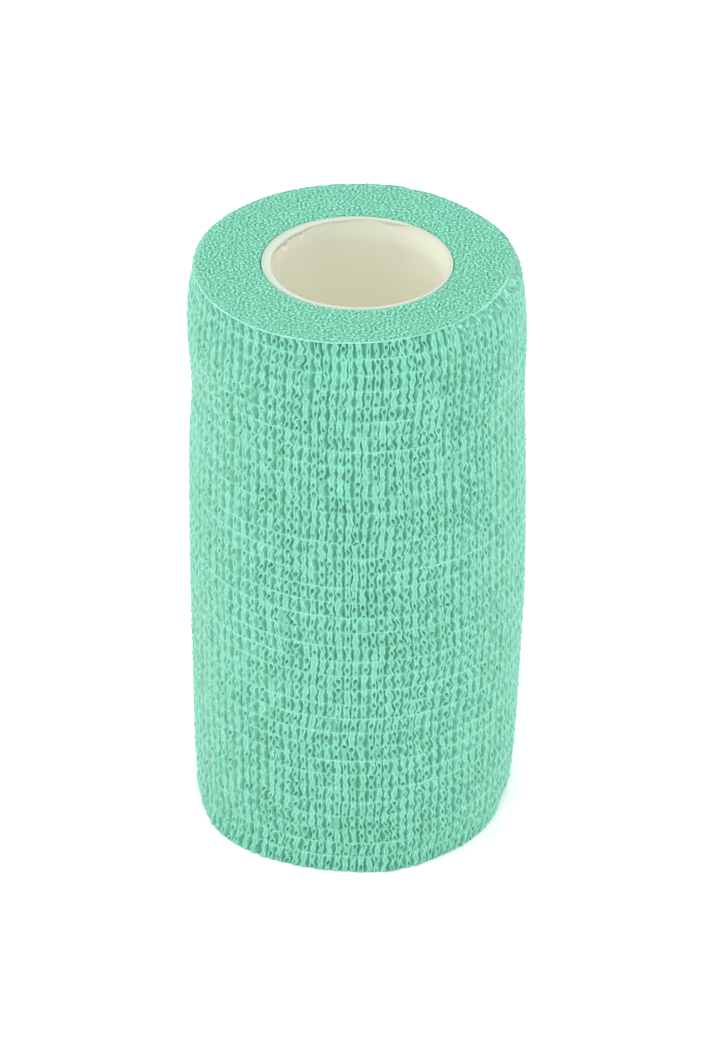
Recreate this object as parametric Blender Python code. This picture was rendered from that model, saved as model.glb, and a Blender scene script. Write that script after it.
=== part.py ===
"""A roll of cohesive crepe bandage, wound on a thin plastic tube and standing on its end.

The bandage is a soft nonwoven cloth that elastic threads, laid along its length, gather into
crepe. Wound up, those threads run round the roll one above the other, and each draws the outer
turn in to a shallow waist. Metres, +Z up, with the origin on the tube's axis at the base.
"""

import math
from typing import NamedTuple

import bmesh
import bpy
from mathutils import Vector

MM = 0.001

# The bandage and its roll
BANDAGE_WIDTH = 100 * MM  # the roll's height, as it stands on the bandage's edge
TURN_THICKNESS = 0.7 * MM  # one relaxed layer of crepe, pressed by the winding
THREADS = 35  # elastic threads across the width
THREAD_PITCH = 2.765 * MM
WAIST_DEPTH = 0.28 * MM  # from the crown of a gathered row in to the thread beside it
BASE_ROUNDING = 0.4 * MM  # the corner that stands on the surface
TOP_ROUNDING = 0.5 * MM  # the corner round the top, where the outer turn's edge stands free
ROLLED_EDGE = 1.9 * MM  # the same corner on the right, where that edge is rolled in
ROLLED_MIDDLE = math.radians(5)
ROLLED_HALF_WIDTH = math.radians(60)
ROUNDING_STEPS = 3
COLUMNS = 56  # sections round one turn
TAIL_ANGLE = math.radians(72)  # where the last turn ends, round the back
TAIL_EDGE = 0.4 * MM  # length along the turn of the step down from the cut end

# The plastic tube
TUBE_RADIUS = 15.0 * MM
TUBE_WALL = 1.4 * MM
TUBE_RECESS = 0.3 * MM  # how far the tube's top stands below the bandage's edge
TUBE_BEVEL = 0.25 * MM
TUBE_SIDES = 64
CLEARANCE = 0.35 * MM  # between the tube and the first turn

BANDAGE_GREEN = (0.24, 0.66, 0.47, 1.0)
TUBE_WHITE = (0.80, 0.81, 0.70, 1.0)


class Level(NamedTuple):
    """The outer turn at one height: its mean radius, and how far it bulges towards +X, in mm."""

    height: float
    radius: float
    lean: float


# Tight at the two cut edges, flared just under the top one, and fullest below the middle.
OUTLINE = (
    Level(height=0.0, radius=25.90, lean=0.55),
    Level(height=3.0, radius=26.10, lean=0.65),
    Level(height=10.0, radius=26.62, lean=0.78),
    Level(height=22.0, radius=26.98, lean=0.85),
    Level(height=40.0, radius=27.40, lean=0.90),
    Level(height=55.0, radius=27.40, lean=0.76),
    Level(height=68.0, radius=27.20, lean=0.58),
    Level(height=78.0, radius=26.80, lean=0.60),
    Level(height=88.0, radius=27.18, lean=0.28),
    Level(height=94.0, radius=26.90, lean=0.18),
    Level(height=100.0, radius=26.10, lean=0.10),
)


def turn_at(height):
    """Mean radius and lean of the outer turn at a height, on a smooth line through OUTLINE."""
    millimetres = height / MM
    last = len(OUTLINE) - 1
    upper = next((i for i, level in enumerate(OUTLINE) if level.height >= millimetres), last)
    upper = max(upper, 1)
    before, after = OUTLINE[upper - 1], OUTLINE[upper]
    share = (millimetres - before.height) / (after.height - before.height)

    def slope(index, column):
        """Rise per millimetre of a column of OUTLINE at one of its rows."""
        low, high = OUTLINE[max(index - 1, 0)], OUTLINE[min(index + 1, last)]
        return (getattr(high, column) - getattr(low, column)) / (high.height - low.height)

    def smooth(column):
        """Cubic between the two rows, with each row's own slope at its end."""
        start, end = getattr(before, column), getattr(after, column)
        span = after.height - before.height
        leave, arrive = slope(upper - 1, column) * span, slope(upper, column) * span
        square, cube = share**2, share**3
        return (
            start * (2 * cube - 3 * square + 1)
            + leave * (cube - 2 * square + share)
            + end * (3 * square - 2 * cube)
            + arrive * (cube - square)
        )

    return smooth("radius") * MM, smooth("lean") * MM


def corner(rounding):
    """How far each step of a rounded corner lies from the end face and inside the side."""
    turns = [math.pi / 2 * step / ROUNDING_STEPS for step in range(ROUNDING_STEPS + 1)]
    return [(rounding * (1 - math.cos(turn)), rounding * (1 - math.sin(turn))) for turn in turns]


def top_rounding(angle):
    """Size of the top corner at an angle: largest where the edge is rolled in."""
    away = abs(math.remainder(angle - ROLLED_MIDDLE, 2 * math.pi))
    rolled = math.cos(math.pi / 2 * min(1.0, away / ROLLED_HALF_WIDTH)) ** 0.5
    return TOP_ROUNDING + (ROLLED_EDGE - TOP_ROUNDING) * rolled


def side_levels(rounding):
    """Height, inset and waist share of each ring up the side, from the base to the top edge."""
    levels = [(rise, inset, 0.0) for rise, inset in corner(BASE_ROUNDING)]
    first_thread = (BANDAGE_WIDTH - (THREADS - 1) * THREAD_PITCH) / 2
    levels += [(first_thread / 2, 0.0, 0.0), (first_thread, 0.0, 1.0)]
    for thread in range(1, THREADS):
        height = first_thread + thread * THREAD_PITCH
        levels += [(height - THREAD_PITCH / 2, 0.0, 0.0), (height, 0.0, 1.0)]
    levels += [(BANDAGE_WIDTH - drop, inset, 0.0) for drop, inset in reversed(corner(rounding))]
    return levels


def loft(name, sections):
    """A closed solid ring from closed sections set one after another round an axis."""
    mesh = bmesh.new()
    rings = [[mesh.verts.new(point) for point in section] for section in sections]
    for ring, following in zip(rings, rings[1:] + rings[:1]):
        for index in range(len(ring)):
            after = (index + 1) % len(ring)
            mesh.faces.new((ring[index], following[index], following[after], ring[after]))
    bmesh.ops.recalc_face_normals(mesh, faces=mesh.faces)
    data = bpy.data.meshes.new(name)
    mesh.to_mesh(data)
    mesh.free()
    data.shade_smooth()
    data.set_sharp_from_angle(angle=math.radians(40))
    solid = bpy.data.objects.new(name, data)
    bpy.context.collection.objects.link(solid)
    return solid


def bandage_roll():
    """The wound bandage: one spiral turn thicker at the cut end, hollow for the tube."""
    bore = TUBE_RADIUS + CLEARANCE
    tail_gap = TAIL_EDGE / (OUTLINE[len(OUTLINE) // 2].radius * MM)
    sections = []
    for column in range(COLUMNS + 1):
        share = column / COLUMNS
        angle = TAIL_ANGLE + share * (2 * math.pi - tail_gap)
        outward = Vector((math.cos(angle), math.sin(angle), 0))
        wound_out = TURN_THICKNESS * (0.5 - share)
        section = [outward * bore]
        for height, inset, waist in side_levels(top_rounding(angle)):
            radius, lean = turn_at(height)
            reach = radius + wound_out - inset - WAIST_DEPTH * (waist - 0.5)
            section.append(outward * reach + Vector((lean, 0, height)))
        section.append(outward * bore + Vector((0, 0, BANDAGE_WIDTH)))
        sections.append(section)
    return loft("bandage_roll", sections)


def core_tube():
    """The tube the bandage is wound on, a little bevelled at its four edges."""
    outer, inner = TUBE_RADIUS, TUBE_RADIUS - TUBE_WALL
    top = BANDAGE_WIDTH - TUBE_RECESS
    outline = [
        (inner, TUBE_BEVEL),
        (inner + TUBE_BEVEL, 0),
        (outer - TUBE_BEVEL, 0),
        (outer, TUBE_BEVEL),
        (outer, top - TUBE_BEVEL),
        (outer - TUBE_BEVEL, top),
        (inner + TUBE_BEVEL, top),
        (inner, top - TUBE_BEVEL),
    ]
    sections = []
    for side in range(TUBE_SIDES):
        angle = 2 * math.pi * side / TUBE_SIDES
        across = Vector((math.cos(angle), math.sin(angle), 0))
        sections.append([across * radius + Vector((0, 0, height)) for radius, height in outline])
    return loft("core_tube", sections)


def finish(solid, name, colour, roughness):
    """Gives a solid its own plain material."""
    material = bpy.data.materials.new(name)
    material.use_nodes = True
    shader = material.node_tree.nodes["Principled BSDF"]
    shader.inputs["Base Color"].default_value = colour
    shader.inputs["Roughness"].default_value = roughness
    shader.inputs["Metallic"].default_value = 0.0
    material.diffuse_color = colour
    solid.data.materials.append(material)


def main():
    for old in list(bpy.data.objects):
        bpy.data.objects.remove(old)
    finish(bandage_roll(), "bandage_crepe", BANDAGE_GREEN, 0.85)
    finish(core_tube(), "tube_plastic", TUBE_WHITE, 0.5)


main()
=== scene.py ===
"""The looks of a cohesive crepe bandage roll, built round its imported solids. Lengths are in mm."""

import math

import bpy
import numpy as np
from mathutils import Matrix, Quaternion, Vector
from mathutils.bvhtree import BVHTree


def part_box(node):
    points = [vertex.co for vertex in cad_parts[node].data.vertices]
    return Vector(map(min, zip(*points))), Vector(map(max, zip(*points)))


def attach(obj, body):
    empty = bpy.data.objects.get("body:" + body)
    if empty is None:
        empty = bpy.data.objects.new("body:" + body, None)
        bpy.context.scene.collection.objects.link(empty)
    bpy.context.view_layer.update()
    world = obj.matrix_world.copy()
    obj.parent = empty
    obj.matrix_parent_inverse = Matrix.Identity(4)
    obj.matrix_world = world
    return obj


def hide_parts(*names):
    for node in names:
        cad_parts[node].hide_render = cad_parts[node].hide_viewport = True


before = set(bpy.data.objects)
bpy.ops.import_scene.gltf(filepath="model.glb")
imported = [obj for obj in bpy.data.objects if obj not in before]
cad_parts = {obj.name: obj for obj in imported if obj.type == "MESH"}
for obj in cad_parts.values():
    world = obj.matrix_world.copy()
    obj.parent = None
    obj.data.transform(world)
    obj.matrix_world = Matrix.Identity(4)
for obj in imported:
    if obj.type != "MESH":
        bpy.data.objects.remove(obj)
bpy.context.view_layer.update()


# ---- The outer turn -----------------------------------------------------------------------
# The last turn of a thin, soft nonwoven in mint green: two plies, with elastic threads glued
# between them along the bandage. The threads draw the cloth up into crepe, upright pleats that
# run from one thread to the next. The turn is stuck to the one below, and ends at the back.

MM = 0.001
ROLL_HEIGHT = 100.0
THREADS = 35
THREAD_PITCH = 2.765
FIRST_THREAD = (ROLL_HEIGHT - (THREADS - 1) * THREAD_PITCH) / 2
GAPS = THREADS + 1  # between threads, with the margins at the two ends
PLEATS = 111
PLEAT_PITCH = 1.40
TAIL_ANGLE = math.radians(72)  # where the last turn is cut, as in the solid
BANDS = 4  # the turn is one cloth, kept in bands between threads to hold each mesh small

# A pleat is a crest between two creases, with a valley between it and the next
CREST = 0.62  # from one of its creases to the other
VALLEY_DEPTH = 0.75
FLANK = 0.13  # from a crease out to where the valley's wall steepens
INNER_SIDE = 0.11  # from a crease in to where the crest levels off
LEAST_WIDTHS = ((0.34, 0.26), (0.30, 0.22))  # of a valley and of a crest, in two passes
PIT_PITCH = 1.94  # from one small pit in a crest to the next one up
PIT_LENGTH = 0.38  # the greater, the longer each pit is
PITTED = 0.70  # share of the crests that are pitted between two threads
WIDE_VALLEYS = 0.03
FLAT_VALLEYS = 0.02
OPEN_VALLEYS = 0.14  # those that run on under a thread
THREADS_SEEN = 0.88  # share of the valleys that a thread shows in

# Where the cloth is gathered less than at the front, so that its pleats are wide and shallow
LOOSE = (
    # angle in degrees, width, how much wider the pleats are
    (-152, 38, 0.60),
    (-32, 34, 0.32),
    (90, 60, 0.15),
)

# The turn's top edge, which stands free at the front left as a thin lip
EDGE = (
    # angle in degrees, radius, how clean the edge is and how strong the painted highlight on it
    (-165, 26.4, 0.7),
    (-145, 26.7, 1.0),
    (-128, 27.0, 1.0),
    (-108, 26.7, 1.0),
    (-92, 26.15, 1.0),
    (-78, 25.85, 0.9),
    (-62, 25.2, 0.45),
    (-45, 24.7, 0.5),
    (-35, 24.5, 0.7),
    (-20, 24.3, 0.7),
    (-8, 24.6, 0.4),
    (5, 25.1, 0.1),
    (20, 25.5, 0.1),
    (40, 25.4, 0.1),
    (62, 26.2, 0.1),
    (71, 26.3, 0.1),
    (75, 26.7, 0.1),
    (88, 26.45, 0.1),
    (110, 26.35, 0.1),
    (130, 26.05, 0.1),
    (150, 25.9, 0.2),
    (168, 25.95, 0.3),
    (180, 26.1, 0.5),
)
EDGE_RISE = 3.6  # the height over which the turn is drawn to its top edge
LIP = 0.16  # half the thickness of that edge

# How far the same edge is rolled in, by angle in degrees, and the height from which it is
ROLLED = ((-65, 0), (-45, 1), (100, 1), (125, 0.6), (175, 0.6), (190, 0))
ROLLED_FROM = 97.2
ROLLED_RISE = 1.8

# How far the turn's lower edge stands out past the solid's, by angle in degrees
FOOT = (
    (190, -0.2), (200, 0.1), (210, 0.75), (222, 0.9), (236, 0.6), (246, 0.0), (270, -0.1),
    (278, 0.3), (286, 0.7), (296, 0.15), (310, -0.25), (326, -0.35), (334, -0.55), (345, -1.2),
    (370, -0.7), (420, 0.0), (510, 0.0),
)
FOOT_RISE = 5.0

# Where the cloth is measured between one thread and the next, as a share of the gap
LEVELS = np.array([0.0, 0.06, 0.16, 0.27, 0.38, 0.49, 0.60, 0.71, 0.82, 0.93])
LEVEL = LEVELS[:, None]
BULGE = np.sin(math.pi * LEVEL)  # greatest midway between the threads
SWING = np.sin(2 * math.pi * LEVEL)  # one way in the lower half, the other way in the upper
CELLS = (GAPS, 1, PLEATS)  # a value for each pleat in each gap
CROSSINGS = (GAPS + 1, PLEATS)  # a value for each pleat at each thread and end
LINES = (GAPS * len(LEVELS), PLEATS)  # a value for each pleat at each level

rng = np.random.default_rng(36)


def cast_radius(node, angles, heights):
    """Radius of a solid's outside, in mm, at each height (rows) and angle (columns)."""
    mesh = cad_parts[node].data
    skin = BVHTree.FromPolygons([v.co for v in mesh.vertices], [p.vertices for p in mesh.polygons])
    away = 0.1  # metres, well outside the roll
    radius = np.empty((len(heights), len(angles)))
    for row, height in enumerate(heights):
        for column, angle in enumerate(angles):
            inward = Vector((-math.cos(angle), -math.sin(angle), 0))
            start = Vector((0, 0, height * MM)) - inward * away
            radius[row, column] = (away - skin.ray_cast(start, inward)[3]) / MM
    return radius


def chosen(share, shape):
    return rng.random(shape) < share


def kept(rows, columns, spread, hold):
    """Random offsets in which each row keeps a share of the one below it."""
    steps = rng.normal(0, spread, (rows, columns))
    offsets = steps.copy()
    for row in range(1, rows):
        offsets[row] = hold * offsets[row - 1] + steps[row]
    return offsets


def patches(rows, columns, row_step, column_step):
    """Smooth random field about 0, with one free value each row_step by column_step."""
    coarse = rng.normal(0, 1, (rows // row_step + 2, columns // column_step + 1))
    coarse[:, -1] = coarse[:, 0]
    along = np.linspace(0, coarse.shape[1] - 1, columns, endpoint=False)
    spread = np.array([np.interp(along, range(coarse.shape[1]), line) for line in coarse])
    up = np.linspace(0, coarse.shape[0] - 1, rows)
    return np.array([np.interp(up, range(coarse.shape[0]), line) for line in spread.T]).T


def ragged_line(count, reach, weight):
    """Random offsets round an edge, each shared with its neighbours over a reach of columns."""
    return np.convolve(rng.normal(0, 1, count + reach - 1), np.full(reach, weight), "valid")


def wrinkles(step, wave):
    """A random relief whose waves are all about one length, read at places in mm. It is laid
    out on a square with a value each step, and repeats past the square's edges."""
    side = 60.0
    count = int(side / step)
    pitch = np.fft.fftfreq(count, step)
    band = np.exp(-((np.hypot(*np.meshgrid(pitch, pitch)) * wave - 1) / 0.5) ** 2)
    field = np.fft.ifft2(np.fft.fft2(rng.normal(0, 1, (count, count))) * band).real
    field = field / field.std()

    def relief_at(across, up):
        column, row = np.floor(across / step).astype(int), np.floor(up / step).astype(int)
        right, above = across / step - column, up / step - row
        column, row = column % count, row % count
        next_column, next_row = (column + 1) % count, (row + 1) % count
        low = field[row, column] * (1 - right) + field[row, next_column] * right
        high = field[next_row, column] * (1 - right) + field[next_row, next_column] * right
        return low * (1 - above) + high * above

    return relief_at


def bump_at(angle, degrees, width):
    """1 at one place round the roll, easing to 0 either side of it."""
    off = (angle - math.radians(degrees) + math.pi) % (2 * math.pi) - math.pi
    return np.exp(-((off / math.radians(width)) ** 2))


def by_angle(angle, table, column=1):
    """A column of a table whose rows begin with an angle in degrees, read at other angles."""
    rows = np.array(table).T
    return np.interp(np.degrees(angle), rows[0], rows[column], period=360)


def up_the_gap(at_threads):
    """Values at the threads, eased over the levels from each thread to the next."""
    eased = LEVEL * LEVEL * (3 - 2 * LEVEL)
    return at_threads[:-1, None] * (1 - eased) + at_threads[1:, None] * eased


def rows_of(values):
    """Values by gap, level and pleat, set out as one row for each level up the roll."""
    return np.broadcast_to(values, (GAPS, len(LEVELS), PLEATS)).reshape(LINES)


def level_heights():
    """Height of each level in each gap between threads."""
    starts = np.concatenate([[0.0], FIRST_THREAD + THREAD_PITCH * np.arange(THREADS)])
    tall = np.diff(np.append(starts, ROLL_HEIGHT))
    return starts[:, None, None] + tall[:, None, None] * LEVEL


def crest_pits(height):
    """The phase from one small pit in a crest to the next, and how deep the pits are."""
    phase = 2 * math.pi * height / PIT_PITCH + rng.uniform(0, 2 * math.pi, PLEATS)
    phase = phase + 1.4 * up_the_gap(patches(*CROSSINGS, 3, 2))
    strength = chosen(PITTED, CELLS) * rng.uniform(0.20, 0.85, CELLS)
    return phase, strength * np.exp((np.cos(phase) - 1) / PIT_LENGTH)


def crease_lines(phase, loose):
    """Where the two creases of every pleat run, parted round the pits, and the wide valleys."""
    sway = kept(*CROSSINGS, 0.09, 0.6) + 0.13 * patches(*CROSSINGS, 3, 6)
    centre = (np.arange(PLEATS) + 0.5) * PLEAT_PITCH + up_the_gap(sway)
    lurch = 0.08 * rng.normal(0, 1, (1, 1, PLEATS)) * np.sin(phase)
    centre = centre + lurch + rng.normal(0, 0.05, CELLS) * BULGE + rng.normal(0, 0.07, CELLS) * SWING
    wide = chosen(WIDE_VALLEYS, CELLS)
    crest = CREST + up_the_gap(rng.normal(0, 0.08, CROSSINGS)) + rng.normal(0, 0.05, CELLS) * BULGE
    crest = crest - (0.06 + 0.12 * (wide + np.roll(wide, -1, axis=2))) * BULGE
    crest = crest * (1 - 0.6 * loose) + rng.uniform(0.04, 0.32, CELLS) * np.cos(phase)
    left = rows_of(centre - crest / 2) + kept(*LINES, 0.06, 0.5)
    right = rows_of(centre + crest / 2) + kept(*LINES, 0.06, 0.5)
    return left, right, wide


def press_apart(left, right):
    """Moves creases apart, in place, where a valley or a crest between them is too narrow."""
    for least_valley, least_crest in LEAST_WIDTHS:
        pressed = (least_valley - (left[:, 1:] - right[:, :-1])).clip(0, None) / 2
        left[:, 1:] += pressed
        right[:, :-1] -= pressed
        pressed = (least_crest - (right - left)).clip(0, None) / 2
        left -= pressed
        right += pressed


def valley_depths(loose, wide):
    """How deep the valleys go, closed off at each thread, and which of them are flat."""
    depth = VALLEY_DEPTH * (1 + 0.08 * patches(GAPS, PLEATS, 4, 9)[:, None])
    depth = depth * (1 - 0.7 * loose) * rng.normal(1.0, 0.13, CELLS)
    flat = chosen(FLAT_VALLEYS, CELLS)
    depth = np.where(flat, 0.35, np.where(wide, 0.85, depth)).clip(0.2, 0.95)
    filled = np.sin(math.pi * LEVEL ** rng.uniform(0.60, 0.95, CELLS)).clip(0, None)
    filled = filled ** rng.uniform(0.6, 1.1, CELLS)
    filled[-1] = np.where(LEVEL > 0.5, 1, filled[-1])
    through = 0.12 + 0.45 * chosen(OPEN_VALLEYS, CELLS)
    deep = rows_of(depth * (through + (1 - through) * filled)) * (1 + kept(*LINES, 0.10, 0.4))
    return deep, flat


def painted_crease_light(loose, flat):
    """The painted highlight on each crease and on the threads that show as thin bars across the
    valleys.
    """
    bright = (rows_of(np.where(flat, 0.5, 0.9)) + kept(*LINES, 0.12, 0.5)).clip(0.15, 1.0)
    shown = (0.42 + 0.36 * patches(*CROSSINGS, 1, 6)).clip(0, 0.85) * chosen(THREADS_SEEN, CROSSINGS)
    shown = shown[:-1]
    shown[0] = 0
    return bright * (1 - 0.3 * loose), rows_of(shown[:, None] * (LEVEL == 0))


def crepe_grid():
    """Place along the turn, height, relief and painted crease highlight of the crepe. A row is one
    level between threads. A column is one feature of a pleat: its valley, and at each of its
    two creases the flank, the crease itself and its inner side, with the hollow of the crest
    between them."""
    height = level_heights()
    loose = np.interp((np.arange(PLEATS) + 0.5) / PLEATS, counted, looseness)
    phase, pits = crest_pits(height)
    left, right, wide = crease_lines(phase, loose)
    press_apart(left, right)
    deep, flat = valley_depths(loose, wide)
    hollow = 0.03 + rows_of(rng.uniform(0.0, 0.08, CELLS) * BULGE + pits) + kept(*LINES, 0.03, 0.4)
    top = kept(*LINES, 0.022, 0.6) - 0.02
    bright, bar = painted_crease_light(loose, flat)
    deep = np.where(bar > 0.15, 0.12, deep)
    hollow = np.where(bar > 0.5, 0.08, hollow)

    around = PLEATS * PLEAT_PITCH
    before = np.concatenate([right[:, -1:] - around, right[:, :-1]], axis=1)
    beyond = np.concatenate([left[:, 1:], left[:, :1] + around], axis=1)
    flank_left = np.minimum(FLANK, 0.36 * (left - before))
    flank_right = np.minimum(FLANK, 0.36 * (beyond - right))
    inner = np.minimum(INNER_SIDE, 0.25 * (right - left))
    lowest = rows_of(rng.normal(0.5, 0.08, CELLS)).clip(0.3, 0.7)
    inside = top - 0.5 * hollow
    # How strong the painted highlight is on each feature of a pleat
    flank_light = np.maximum(0.3 * bright, bar)
    within = np.maximum(0.3 * bright * (1 - 4 * hollow).clip(0, 1), bar)
    side = 0.15 * bright + 0.5 * within
    features = (
        # place along the turn, relief, painted highlight
        (before + (left - before) * lowest, -deep, bar),
        (left - flank_left, top - 0.25 * deep, flank_light),
        (left, top, bright),
        (left + inner, inside, side),
        ((left + right) / 2, -hollow, within),
        (right - inner, inside, side),
        (right, top, bright),
        (right + flank_right, top - 0.25 * np.roll(deep, -1, axis=1), flank_light),
    )
    along, relief, crease = np.array(features).transpose(1, 2, 3, 0).reshape(3, len(left), -1)
    rise = up_the_gap(rng.normal(0, 0.06, CROSSINGS)).reshape(LINES)
    height = height.reshape(-1, 1)
    height = height + rise * np.minimum(1, np.minimum(height, ROLL_HEIGHT - height) / THREAD_PITCH)
    return along, height.repeat(len(features), axis=1), relief, crease


def grid_piece(name, points, relief, crease, material):
    """A smooth mesh over rows of points in mm, each row closed round the roll, with its shades
    and its bake map."""
    rows, columns = relief.shape
    row, column = np.meshgrid(np.arange(rows - 1), np.arange(columns), indexing="ij")
    after = (column + 1) % columns
    low, high = row * columns, (row + 1) * columns
    faces = np.stack([low + column, low + after, high + after, high + column], axis=-1)
    mesh = bpy.data.meshes.new(name)
    mesh.from_pydata(points.reshape(-1, 3) * MM, [], faces.reshape(-1, 4))
    for shade, values in (("relief", relief), ("crease", crease)):
        mesh.attributes.new(shade, "FLOAT", "POINT").data.foreach_set("value", values.ravel())
    mesh.shade_smooth()
    lay_bake_map(mesh, row.ravel(), column.ravel(), rows - 1, columns)
    mesh.materials.append(material)
    piece = bpy.data.objects.new(name, mesh)
    bpy.context.collection.objects.link(piece)
    return piece


def lay_bake_map(mesh, row, column, rows, columns):
    """Unrolls the grid into strips laid one above the other, to fill the square evenly."""
    strips = 4
    margin = 0.004
    strip = column * strips // columns
    across = np.stack([column, column + 1, column + 1, column], axis=1) * strips / columns
    across = margin + (across - strip[:, None]) * (1 - 2 * margin)
    up = np.stack([row, row, row + 1, row + 1], axis=1) / rows
    up = (strip[:, None] + margin + up * (1 - 2 * margin)) / strips
    layer = mesh.uv_layers.new(name="OFBake")
    layer.data.foreach_set("uv", np.stack([across, up], axis=-1).ravel())


class Wire:
    """An output of a material's nodes. Arithmetic on it adds Math nodes."""

    def __init__(self, tree, socket=None):
        self.tree = tree
        self.socket = socket

    def node(self, kind, settings, inputs, output=0):
        """Adds a node, with its settings, then its inputs as values or wires."""
        made = self.tree.nodes.new(kind)
        for name, value in settings.items():
            setattr(made, name, value)
        for name, value in inputs.items():
            if isinstance(value, Wire):
                self.tree.links.new(value.socket, made.inputs[name])
            else:
                made.inputs[name].default_value = value
        return Wire(self.tree, made.outputs[output])

    def maths(self, operation, first, second):
        return self.node("ShaderNodeMath", {"operation": operation}, {0: first, 1: second})

    def __add__(self, other):
        return self.maths("ADD", self, other)

    def __sub__(self, other):
        return self.maths("SUBTRACT", self, other)

    def __rsub__(self, other):
        return self.maths("SUBTRACT", other, self)

    def __mul__(self, other):
        return self.maths("MULTIPLY", self, other)

    __radd__ = __add__
    __rmul__ = __mul__

    def between(self, low, high):
        """This wire's value from low to high as 0 to 1."""
        inputs = {"Value": self, "From Min": low, "From Max": high}
        return self.node("ShaderNodeMapRange", {"clamp": True}, inputs)

    def mix(self, low, high):
        """The colour low where this wire is 0 and high where it is 1."""
        return self.node("ShaderNodeMix", {"data_type": "RGBA"}, {"Factor": self, 6: low, 7: high}, 2)


def new_material(name, roughness):
    """A material, its shader's inputs, and a wire to start its nodes from."""
    material = bpy.data.materials.new(name)
    material.use_nodes = True
    shader = material.node_tree.nodes["Principled BSDF"]
    shader.inputs["Roughness"].default_value = roughness
    return material, shader.inputs, Wire(material.node_tree)


def feed(wire, socket):
    wire.tree.links.new(wire.socket, socket)


def crepe_material():
    """Matt nonwoven with fine fibres. Its colour holds painted light: a painted highlight on the
    creases, and painted shade, a darker, fuller green, down in the folds.
    """
    valley_green_painted_shade = (0.043, 0.247, 0.152, 1)
    cloth_green = (0.097, 0.372, 0.249, 1)
    crease_green_painted_highlight = (0.236, 0.700, 0.526, 1)
    material, shader, start = new_material("mint_crepe", 0.9)
    place = start.node("ShaderNodeTexCoord", {}, {}, "Object")
    relief = start.node("ShaderNodeAttribute", {"attribute_name": "relief"}, {}, "Fac")
    crease = start.node("ShaderNodeAttribute", {"attribute_name": "crease"}, {}, "Fac")
    fibres = start.node("ShaderNodeTexNoise", {}, {"Vector": place, "Scale": 2800.0, "Detail": 3.0})
    mottle = start.node("ShaderNodeTexNoise", {}, {"Vector": place, "Scale": 1100.0, "Detail": 2.0})
    # Painted shade: the lower the relief, the darker and fuller the green, as the valleys lie in shade
    depth = relief + 0.25 * (mottle - 0.5) + 0.15 * (fibres - 0.5)
    body = depth.between(-0.34, -0.05).mix(valley_green_painted_shade, cloth_green)
    # Painted highlight: where the crease value is high the colour turns to the light crease green
    lit = crease * (0.6 + 0.8 * mottle) + 0.45 * (fibres - 0.5)
    feed(lit.between(0, 1).mix(body, crease_green_painted_highlight), shader["Base Color"])
    feed(0.82 + 0.14 * fibres, shader["Roughness"])
    bump = start.node("ShaderNodeBump", {}, {"Strength": 0.5, "Distance": 0.00006, "Height": fibres})
    feed(bump, shader["Normal"])
    shader["Sheen Weight"].default_value = 0.35
    shader["Sheen Tint"].default_value = (0.85, 1.0, 0.92, 1)
    shader["Sheen Roughness"].default_value = 0.6
    return material


# The share of the pleats passed by each share of the turn, as they are counted from the cut end
turn_share = np.linspace(0, 1, 721)
looseness = 0 * turn_share
for middle, width, wider in LOOSE:
    looseness += wider * bump_at(TAIL_ANGLE + 2 * math.pi * turn_share, middle, width)
counted = np.append(0, np.cumsum(1 / (1 + looseness[1:])))
counted /= counted[-1]

# The crepe laid round the solid, with its crests on the solid's surface
along, height, relief, crease = crepe_grid()
columns = along.shape[1]
pleats_passed = along / (PLEATS * PLEAT_PITCH)
share = np.floor(pleats_passed) + np.interp(pleats_passed % 1, counted, turn_share)
share = share + 0.0012 * patches(len(share), 1, 20, 1)
share_samples = np.linspace(0.002, 0.996, 145)
row_heights = height.mean(axis=1).clip(0.02, ROLL_HEIGHT - 0.6)
solid_radius = cast_radius("bandage_roll", TAIL_ANGLE + 2 * math.pi * share_samples, row_heights)
crown = np.array([np.interp(share[row], share_samples, solid_radius[row]) for row in range(len(share))])
angle = TAIL_ANGLE + 2 * math.pi * share

# The cloth's close-set cut edges, whose speckle also covers the edge that is rolled in
bends = wrinkles(step=0.1, wave=0.78)
folds = wrinkles(step=0.1, wave=0.50)


def cut_edges(x, y):
    return 0.11 * bends(x, y) + 0.10 * folds(x, y)


# Painted highlight on the raised tips of the cut edges, kept as a crease value
def edge_light(relief):
    return (5.5 * relief - 0.15).clip(0, 1)


rolled = by_angle(angle, ROLLED) * ((height - ROLLED_FROM) / ROLLED_RISE).clip(0, 1)
unrolled = crown - (height - (ROLL_HEIGHT - EDGE_RISE))
speckle = cut_edges(unrolled * np.cos(angle), unrolled * np.sin(angle))
relief = relief * (1 - 0.75 * rolled) + (speckle - 0.05) * rolled
# The rolled-in edge gets the same painted highlight on its speckle
crease = crease * (1 - rolled) + edge_light(speckle) * rolled
rumple = wrinkles(step=0.12, wave=0.65)
relief = relief + 0.045 * rumple(along, height)
radius = crown + relief

# Its lower edge, set out or in and a little frayed
frayed = ragged_line(columns, 5, 0.35)
foot = by_angle(angle, FOOT) + 0.10 * frayed + 0.12 * patches(2, columns, 1, 30)[0]
radius = radius + foot * ((FOOT_RISE - height) / FOOT_RISE).clip(0, 1) ** 2
height[0] = 0.12 * abs(frayed)

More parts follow.
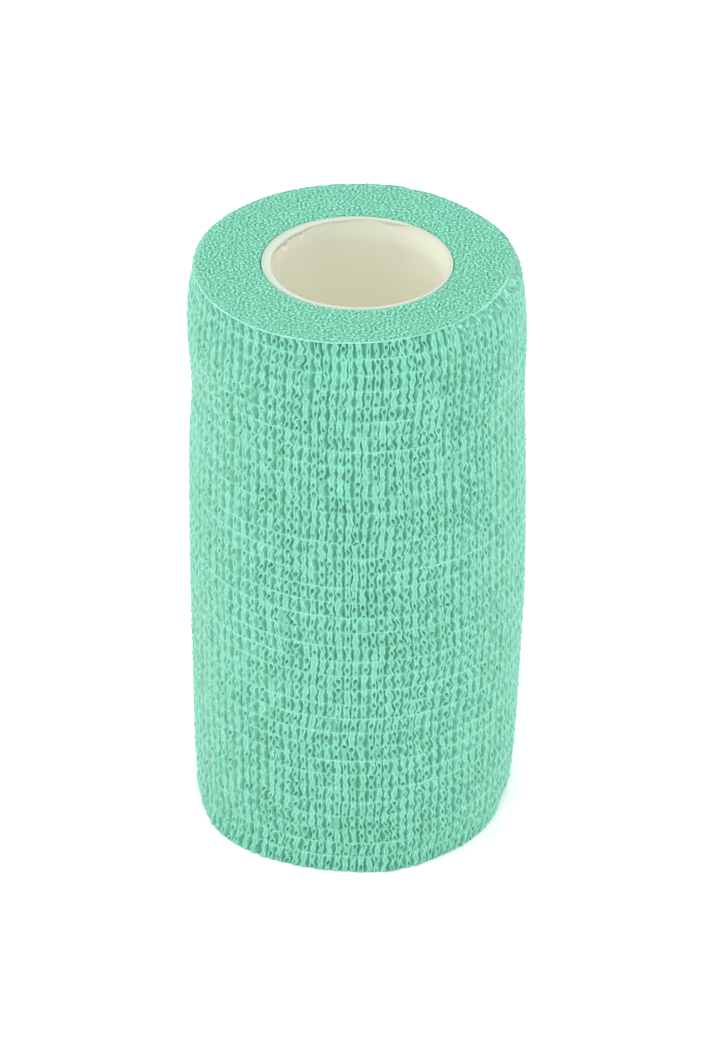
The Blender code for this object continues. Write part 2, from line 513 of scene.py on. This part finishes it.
# Its top edge, drawn to where it lies and stood up as a thin lip, clean or creped by turns
lip_radius = by_angle(angle[-1], EDGE)
clean = by_angle(angle[-1], EDGE, 2)
drawn = lip_radius - crown[-1]
radius = radius + drawn * ((height - (ROLL_HEIGHT - EDGE_RISE)) / EDGE_RISE).clip(0, 1) ** 3
ragged = ragged_line(columns, 3, 0.5) * (1.1 - clean)
lip_radius = lip_radius + 0.05 * patches(2, columns, 1, 20)[0] + 0.12 * ragged
lip_sink = 0.04 + 0.03 * abs(patches(2, columns, 1, 15)[0]) + 0.10 * (1.1 - clean) * abs(ragged)
lip = (
    # out past the edge's radius, down from its top, how strong the painted highlight
    (0.03, 0.13, 0.7),
    (-LIP, 0.0, 1.0),
    (-2 * LIP, 0.13, 0.5),
)
radius = np.vstack([radius] + [lip_radius + out for out, _, _ in lip])
height = np.vstack([height] + [ROLL_HEIGHT - lip_sink - down for _, down, _ in lip])
# The lip's crease value is a painted highlight along the top edge
crease = np.vstack([crease] + [light * clean for _, _, light in lip])
relief = np.vstack([relief, np.zeros((len(lip), columns))])
angle = np.vstack([angle, angle[-1:].repeat(len(lip), axis=0)])
turn_points = np.stack([radius * np.cos(angle), radius * np.sin(angle), height], axis=-1)

crepe = crepe_material()
band_rows = GAPS // BANDS * len(LEVELS)
for band in range(BANDS):
    first = band * band_rows
    rows = slice(first, first + band_rows + 1 if band < BANDS - 1 else len(relief))
    strip = grid_piece(f"outer_turn_{band + 1}", turn_points[rows], relief[rows], crease[rows], crepe)
    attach(strip, "root")
    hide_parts("bandage_roll")


# ---- The wound edges ----------------------------------------------------------------------
# At each end of the roll the edges of all the turns lie side by side, about 17 of them. Each
# is a pleated edge of two plies, pressed against the next, so that the end is a close speckle
# of crooked little edges with shadows between them, partly cast and partly painted shade,
# and a painted highlight on their tips.

TURNS = 17
BORE_RADIUS = 15.32
TUCKED = 2.0  # how far the cloth goes on into the bore, behind the tube
EDGE_SINK = 0.29  # from the end of the roll down to the middle of the speckle
GROOVE_DEPTH = 0.45  # where the cloth stands off the tube, at the back, painted with shade too
GROOVE_WIDTH = 0.28

ENDS = (
    # name, facing up or down, rings, columns, the row of the outer turn that it meets
    ("top_edges", 1, 92, 960, -1),
    ("base_edges", -1, 66, 540, 0),
)


def wound_edges(name, facing, rings, columns, outer_row):
    """The ring of edges at one end, from inside the bore out to the edge of the outer turn."""
    out = np.linspace(0, 1, rings)[:, None]
    turn = np.arange(columns) / columns
    around = TAIL_ANGLE + 2 * math.pi * turn
    at = (angle[outer_row] - TAIL_ANGLE) / (2 * math.pi) % 1
    order = np.argsort(at)
    outer = np.interp(turn, at[order], radius[outer_row][order], period=1)
    outer_height = np.interp(turn, at[order], height[outer_row][order], period=1)
    ring_radius = BORE_RADIUS + (outer - BORE_RADIUS) * out
    x, y = ring_radius * np.cos(around), ring_radius * np.sin(around)
    beside = abs((out * TURNS - turn) % 1 - 0.5) * 2
    relief = cut_edges(x, y) - 0.05 * beside ** 4
    joined = np.minimum(1, (1 - out) * 14) ** 0.5
    free = joined * np.minimum(1, 0.35 + 10 * out)
    dashes = (0.6 + 0.6 * np.repeat(rng.normal(0, 1, columns // 6), 6)).clip(0, 1)
    parted = bump_at(around, 105, 65) * dashes
    groove = GROOVE_DEPTH * parted * np.exp(-(((ring_radius - BORE_RADIUS) / GROOVE_WIDTH) ** 2))
    sink = (EDGE_SINK - relief * free + groove).clip(0.03, 0.9)
    heights = (ROLL_HEIGHT - sink if facing > 0 else sink) * joined + outer_height * (1 - joined)
    heights[0] = ROLL_HEIGHT - TUCKED if facing > 0 else TUCKED
    points = np.stack([x, y, heights], axis=-1)
    # Painted shade, kept in the relief attribute: darker between the edges and in the groove; the tips
    # get a painted highlight
    shade = (1.7 * relief - 0.03 - groove).clip(-0.5, 0)
    crease = edge_light(relief - groove)
    # Painted shade on the ring tucked into the bore, behind the tube
    shade[0], crease[0] = -0.4, 0
    parts = (points, shade, crease)
    if facing > 0:
        parts = (part[::-1] for part in parts)
    return grid_piece(name, *parts, crepe)


for end in ENDS:
    edges = wound_edges(*end)
    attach(edges, "root")
    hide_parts("bandage_roll")


# ---- The core tube ------------------------------------------------------------------------
# A thin extruded tube of off-white plastic, cut to length: its wall is smooth and satin
# inside, and the cut left the rim paler, of uneven width and with a burr at the back.

CORE_RADIUS = 15.28
CORE_BORE = 13.6
CORE_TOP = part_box("core_tube")[1].z / MM + 0.2
CORE_SEGMENTS = 360

# Radius of the rim's inner edge, by angle in degrees: the cut left the wall thin on the right
RIM = (
    (-180, 13.75), (-160, 14.0), (-140, 14.35), (-120, 14.6), (-90, 14.65), (-60, 14.65),
    (-30, 14.8), (0, 14.9), (15, 15.0), (50, 15.0), (62, 14.7), (90, 14.4), (110, 14.15),
    (135, 13.9), (160, 13.75),
)

# Where the cut tore the rim's inner edge: angle in degrees, width, how much
TORN = ((135, 40, 1.0), (70, 9, 0.8), (185, 20, 0.3))

# Where that edge is palest: angle in degrees, width
PALE = ((155, 75), (268, 62), (70, 12))


def core_material():
    """Satin off-white plastic, paler and rougher where it was cut, palest along parts of the rim's
    inner edge, and with a painted green reflection of the cloth on the cut rim. The bore is
    painted lighter deep down and at the left and right, where it lies in shade.
    """
    deep_cream_painted_light = (0.890, 0.885, 0.705, 1)
    wall_cream = (0.560, 0.565, 0.460, 1)
    side_cream_painted_light = (0.690, 0.695, 0.580, 1)
    cut_rim_painted_green_reflection = (0.410, 0.500, 0.410, 1)
    pale_edge_white = (0.520, 0.550, 0.465, 1)
    material, shader, start = new_material("core_plastic", 0.5)
    place = start.node("ShaderNodeTexCoord", {}, {}, "Object")
    up = start.node("ShaderNodeSeparateXYZ", {}, {"Vector": place}, "Z")
    across = start.node("ShaderNodeSeparateXYZ", {}, {"Vector": place}, "X")
    cut = start.node("ShaderNodeAttribute", {"attribute_name": "crease"}, {}, "Fac")
    pale_edge = start.node("ShaderNodeAttribute", {"attribute_name": "relief"}, {}, "Fac")
    haze = start.node("ShaderNodeTexNoise", {}, {"Vector": place, "Scale": 150.0, "Detail": 3.0})
    # Painted light: the colour is made lighter at the left and right of the mouth, which lie more in
    # shade
    mouth_painted_side_light = (across * across).between(0.00003, 0.00018).mix(wall_cream, side_cream_painted_light)
    # Painted light: the colour is made much lighter deep in the bore, where it lies in shade
    wall = up.between(0.080, 0.098).mix(deep_cream_painted_light, mouth_painted_side_light)
    # The cut rim's colour holds a painted green reflection of the cloth beside it
    body = (cut + 0.06 * (haze - 0.5)).between(0, 1).mix(wall, cut_rim_painted_green_reflection)
    # Paler along parts of the rim's inner edge, by the pale mask
    feed(pale_edge.between(0, 1).mix(body, pale_edge_white), shader["Base Color"])
    feed(0.42 + 0.25 * cut + 0.1 * haze, shader["Roughness"])
    grain = start.node("ShaderNodeTexNoise", {}, {"Vector": place, "Scale": 2500.0, "Detail": 2.0})
    bump = start.node("ShaderNodeBump", {}, {"Strength": 0.15, "Distance": 0.00004, "Height": grain})
    feed(bump, shader["Normal"])
    return material


def core_tube():
    """The tube, as one section of its wall taken round: up the bore, over the rim and down."""
    angle = 2 * math.pi * np.arange(CORE_SEGMENTS) / CORE_SEGMENTS
    rim = by_angle(angle, RIM)
    ragged = ragged_line(CORE_SEGMENTS, 3, 0.5)
    torn = sum(amount * bump_at(angle, degrees, width) for degrees, width, amount in TORN)
    torn = torn * (1 + 0.5 * patches(2, CORE_SEGMENTS, 1, 12)[0]).clip(0.3, None)
    burr_drop = 0.06 + 0.32 * torn + 0.30 * torn * abs(ragged)
    ledge = 0.01 + 0.07 * torn
    pale = np.max([bump_at(angle, degrees, width) for degrees, width in PALE], axis=0)
    section = [
        # radius, height, cut, pale edge
        (CORE_BORE, 0.3, 0.0, 0.0),
        (CORE_BORE, 20.0, 0.0, 0.0),
        (CORE_BORE, 50.0, 0.0, 0.0),
        (CORE_BORE, 75.0, 0.0, 0.0),
        (CORE_BORE, 90.0, 0.0, 0.0),
        (CORE_BORE, CORE_TOP - 4.0, 0.0, 0.0),
        (0.3 * rim + 0.7 * CORE_BORE, CORE_TOP - 2.4, 0.0, 0.0),
        (0.75 * rim + 0.25 * CORE_BORE, CORE_TOP - 1.2, 0.0, 0.0),
        (rim - 0.03, CORE_TOP - 0.16 - 1.3 * burr_drop, 0.0, 0.0),
        (rim - 0.02, CORE_TOP - 0.10 - 1.1 * burr_drop, 0.0, 0.0),
        (rim - ledge, CORE_TOP - 0.08 - burr_drop, 0.3, pale),
        (rim - ledge, CORE_TOP - 0.05 - 0.5 * burr_drop, 0.8, pale),
        (rim, CORE_TOP - 0.03 + 0.02 * ragged, 0.8, pale),
        (np.minimum(rim + 0.3, CORE_RADIUS - 0.15), CORE_TOP - 0.03 + 0.01 * ragged, 0.9, 0.35 * pale),
        (CORE_RADIUS - 0.08, CORE_TOP - 0.03, 1.0, 0.0),
        (CORE_RADIUS, CORE_TOP - 0.2, 0.9, 0.0),
        (CORE_RADIUS, 60.0, 0.0, 0.0),
        (CORE_RADIUS, 0.3, 0.0, 0.0),
        (CORE_RADIUS - 0.2, 0.02, 0.8, 0.0),
        (CORE_BORE + 0.2, 0.02, 0.8, 0.0),
        (CORE_BORE, 0.3, 0.0, 0.0),
    ]
    rows = [[np.broadcast_to(value, angle.shape) for value in row] for row in section[::-1]]
    radius, level, cut, pale_edge = np.array(rows).transpose(1, 0, 2)
    points = np.stack([radius * np.cos(angle), radius * np.sin(angle), level], axis=-1)
    return grid_piece("core_shell", points, pale_edge, cut, core_material())


core = core_tube()
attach(core, "root")
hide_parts("core_tube")


# ---- The studio ---------------------------------------------------------------------------
# The roll stands on a plain white sweep in even light, with three soft lamps above it: one in
# front and one at each side.

AIM = Vector((1.02, 0, 50.8)) * MM
DISTANCE = 954.8 * MM
ELEVATION = math.radians(31.5)
ROLL = math.radians(0.81)
LENS = 200.5
LAMP_SIZE = 0.7

LAMPS = (
    # name, place in metres, watts
    ("front_lamp", (0, -0.98, 1.0), 5.0),
    ("left_lamp", (-0.9, -0.3, 0.95), 2.5),
    ("right_lamp", (0.9, -0.3, 0.95), 1.6),
)


def white_sweep():
    """The plain floor, wide enough to fill every view, with a very faint tone in it."""
    bpy.ops.mesh.primitive_plane_add(size=12)
    floor = bpy.context.object
    floor.name = "floor"
    material, shader, start = new_material("white_floor", 0.8)
    place = start.node("ShaderNodeTexCoord", {}, {}, "Object")
    tone = start.node("ShaderNodeTexNoise", {}, {"Vector": place, "Scale": 3.0})
    feed(tone.mix((0.94, 0.94, 0.94, 1), (0.96, 0.96, 0.96, 1)), shader["Base Color"])
    floor.data.materials.append(material)


def even_light():
    """A white world all round, and the lamps, each turned towards the roll."""
    bpy.context.scene.view_settings.view_transform = "Standard"
    world = bpy.data.worlds.new("studio")
    bpy.context.scene.world = world
    world.use_nodes = True
    world.node_tree.nodes["Background"].inputs["Color"].default_value = (1, 1, 1, 1)
    world.node_tree.nodes["Background"].inputs["Strength"].default_value = 1.25
    for name, place, watts in LAMPS:
        lamp = bpy.data.lights.new(name, "AREA")
        lamp.size = LAMP_SIZE
        lamp.energy = watts
        holder = bpy.data.objects.new(name, lamp)
        holder.location = place
        holder.rotation_euler = (AIM - Vector(place)).to_track_quat("-Z", "Y").to_euler()
        bpy.context.collection.objects.link(holder)


def photo_camera():
    """The camera at the photograph's angle, with a long lens some way off."""
    camera = bpy.data.objects.new("camera", bpy.data.cameras.new("camera"))
    camera.data.lens = LENS
    camera.data.clip_start = 0.05
    away = Vector((0, -math.cos(ELEVATION), math.sin(ELEVATION)))
    camera.location = AIM + DISTANCE * away
    turn = (-away).to_track_quat("-Z", "Y") @ Quaternion((0, 0, 1), ROLL)
    camera.rotation_euler = turn.to_euler()
    bpy.context.collection.objects.link(camera)
    bpy.context.scene.camera = camera


white_sweep()
even_light()
photo_camera()
